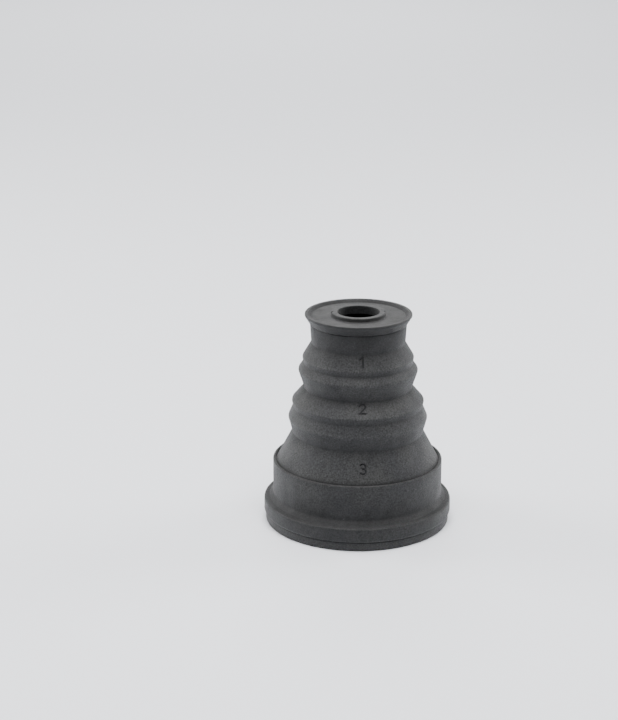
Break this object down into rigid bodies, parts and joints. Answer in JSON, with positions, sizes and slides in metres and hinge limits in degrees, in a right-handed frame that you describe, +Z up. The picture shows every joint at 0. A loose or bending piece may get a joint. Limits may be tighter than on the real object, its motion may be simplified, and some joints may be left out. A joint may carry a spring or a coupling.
{
  "type": "snoot",
  "caption": "Collapsible soft snoot for a round flash head, with a magnetic ring base, folding conical webs and a small round light aperture.",
  "frame": {"origin": "centre of the flange's lower face, which meets the surface it stands on", "axes": "+Z up along the light path, from the flash head towards the aperture; the numerals on the webs face -Y"},
  "size_m": [0.082, 0.082, 0.0942],
  "materials": {
    "silicone": "matte",
    "carrier_plastic": "satin",
    "magnet_nickel": "nickel plated"
  },
  "bodies": {
    "base": {"base_flange": "silicone", "skirt": "silicone", "magnet_carrier": "carrier_plastic", "magnet_retainer": "carrier_plastic", "magnet_1": "magnet_nickel", "magnet_2": "magnet_nickel", "magnet_3": "magnet_nickel", "magnet_4": "magnet_nickel", "magnet_5": "magnet_nickel", "magnet_6": "magnet_nickel", "magnet_7": "magnet_nickel", "magnet_8": "magnet_nickel", "fold_web_3": "silicone"},
    "lower_stage": {"lower_band_taper": "silicone", "lower_band": "silicone", "fold_web_2": "silicone"},
    "upper_stage": {"upper_band_taper": "silicone", "upper_band": "silicone", "fold_web_1": "silicone"},
    "tip": {"tip_neck": "silicone", "tip_rim": "silicone", "front_disc": "silicone", "aperture_collar": "silicone"}
  },
  "joints": [
    {"name": "lower_stage_slide", "type": "slide", "parent": "base", "child": "lower_stage", "axis": [0, 0, -1], "range_m": [0, 0.0264], "deforming": ["fold_web_3"]},
    {"name": "upper_stage_slide", "type": "slide", "parent": "lower_stage", "child": "upper_stage", "axis": [0, 0, -1], "range_m": [0, 0.0122], "deforming": ["fold_web_2"]},
    {"name": "tip_slide", "type": "slide", "parent": "upper_stage", "child": "tip", "axis": [0, 0, -1], "range_m": [0, 0.0128], "deforming": ["fold_web_1"]}
  ]
}
